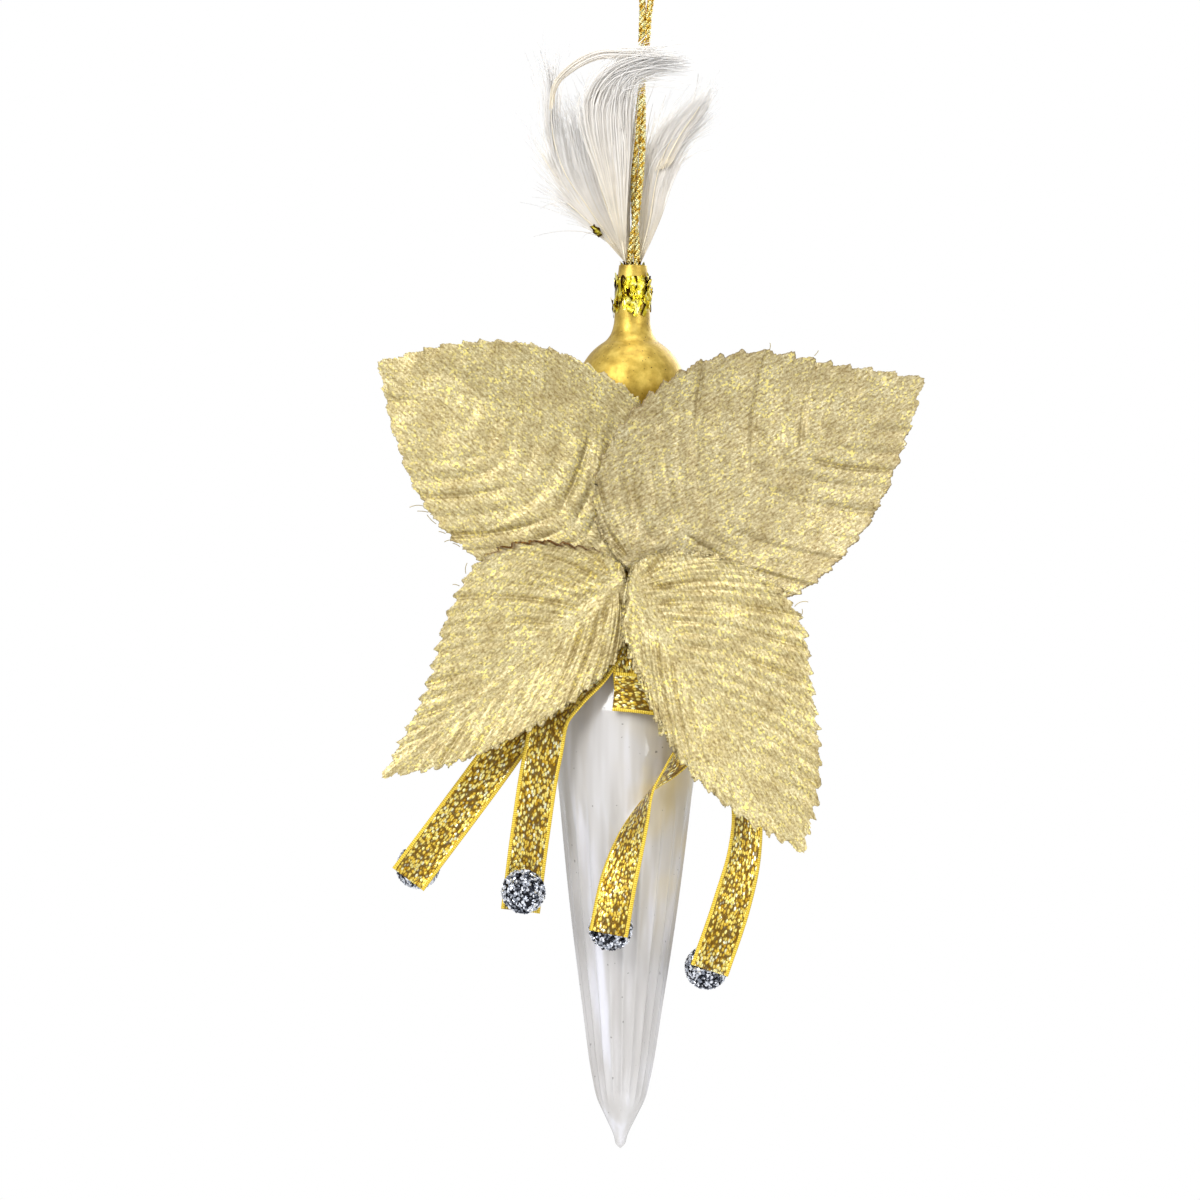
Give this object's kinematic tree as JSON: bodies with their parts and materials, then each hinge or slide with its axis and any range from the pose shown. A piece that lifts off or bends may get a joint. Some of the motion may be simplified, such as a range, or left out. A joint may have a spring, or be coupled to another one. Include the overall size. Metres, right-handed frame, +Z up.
{
  "type": "icicle hanging ornament",
  "caption": "Fluted pearl-glass icicle ornament with a gold ball top, gold fabric leaves, a glitter ribbon bow with beaded tails and a feather tuft, hung by a twisted metallic cord loop.",
  "frame": {"origin": "where a hook bears on the inside of the cord loop's top", "axes": "+Z up, against gravity, along the icicle; -Y the side that shows the leaves; +X to the right seen from there"},
  "size_m": [0.0925, 0.0316, 0.2062],
  "materials": {
    "pearl_glass": "pearl-lined, polished",
    "gold_lacquer": "satin gold lacquer on glass",
    "gold_foil": "crumpled bright foil",
    "gold_lame": "champagne metallic woven fabric, embossed",
    "gold_ribbon": "metallic glitter weave with bright selvages",
    "gold_cord": "twisted metallic thread",
    "feather": "soft, half transparent",
    "glitter_bead": "coated with silver and dark glitter",
    "stem_wire": "thin annealed wire",
    "hot_glue": "clear amber hot glue"
  },
  "bodies": {
    "hanger": {"hanger_cord": "gold_cord"},
    "ornament": {"gold_bulb": "gold_lacquer", "icicle_glass": "pearl_glass", "foil_collar": "gold_foil", "foil_flakes": "gold_foil", "cord_knot": "gold_cord", "glue_plug": "hot_glue", "glue_dab": "hot_glue", "ribbon_wrap": "gold_ribbon", "ribbon_knot": "gold_ribbon", "ribbon_fold": "gold_ribbon", "ribbon_top_1": "gold_ribbon", "ribbon_top_2": "gold_ribbon", "ribbon_top_3": "gold_ribbon", "ribbon_top_4": "gold_ribbon", "stem_upper_left": "stem_wire", "stem_upper_right": "stem_wire", "stem_lower_left": "stem_wire", "stem_lower_right": "stem_wire", "feather_left": "feather", "feather_curl": "feather", "feather_right": "feather"},
    "upper_left_leaf": {"leaf_upper_left": "gold_lame", "wire_upper_left": "stem_wire"},
    "upper_right_leaf": {"leaf_upper_right": "gold_lame", "wire_upper_right": "stem_wire"},
    "lower_left_leaf": {"leaf_lower_left": "gold_lame", "wire_lower_left": "stem_wire"},
    "lower_right_leaf": {"leaf_lower_right": "gold_lame", "wire_lower_right": "stem_wire"},
    "tail_1": {"ribbon_tail_1": "gold_ribbon", "bead_1": "glitter_bead"},
    "tail_2": {"ribbon_tail_2": "gold_ribbon", "bead_2": "glitter_bead"},
    "tail_3": {"ribbon_tail_3": "gold_ribbon", "bead_3": "glitter_bead"},
    "tail_4": {"ribbon_tail_4": "gold_ribbon", "bead_4": "glitter_bead"}
  },
  "joints": [
    {"name": "hanger_swing", "type": "hinge", "parent": "hanger", "child": "ornament", "pos_m": [-0.002, 0, -0.0544], "axis": [0, 1, 0], "range_deg": [-20, 20]},
    {"name": "upper_left_leaf_bend", "type": "hinge", "parent": "ornament", "child": "upper_left_leaf", "pos_m": [-0.00353, -0.00936, -0.10606], "axis": [0.6324, 0, 0.7746], "range_deg": [-3, 3]},
    {"name": "upper_right_leaf_bend", "type": "hinge", "parent": "ornament", "child": "upper_right_leaf", "pos_m": [-0.00148, -0.01136, -0.10565], "axis": [0.5464, 0, -0.8375], "range_deg": [-3, 3]},
    {"name": "lower_left_leaf_bend", "type": "hinge", "parent": "ornament", "child": "lower_left_leaf", "pos_m": [-0.00393, -0.01355, -0.10942], "axis": [-0.6446, 0, 0.7645], "range_deg": [-1, 25]},
    {"name": "lower_right_leaf_bend", "type": "hinge", "parent": "ornament", "child": "lower_right_leaf", "pos_m": [-0.00106, -0.01405, -0.10946], "axis": [-0.837, 0, -0.5472], "range_deg": [-1, 25]},
    {"name": "tail_1_sway", "type": "hinge", "parent": "ornament", "child": "tail_1", "pos_m": [-0.015, -0.0091, -0.1265], "axis": [-0.8149, 0, 0.5796], "range_deg": [-12, 6], "stiffness_Nm_per_rad": 0.004},
    {"name": "tail_2_sway", "type": "hinge", "parent": "ornament", "child": "tail_2", "pos_m": [-0.0147, -0.0117, -0.1317], "axis": [-0.9898, 0, 0.1423], "range_deg": [-3, 12], "stiffness_Nm_per_rad": 0.004},
    {"name": "tail_3_sway", "type": "hinge", "parent": "ornament", "child": "tail_3", "pos_m": [0.0111, -0.01245, -0.1307], "axis": [-0.9202, 0, 0.3915], "range_deg": [0, 7], "stiffness_Nm_per_rad": 0.004},
    {"name": "tail_4_sway", "type": "hinge", "parent": "ornament", "child": "tail_4", "pos_m": [0.0128, -0.0092, -0.1282], "axis": [-1, 0, 0.0065], "range_deg": [-12, 1], "stiffness_Nm_per_rad": 0.004}
  ]
}
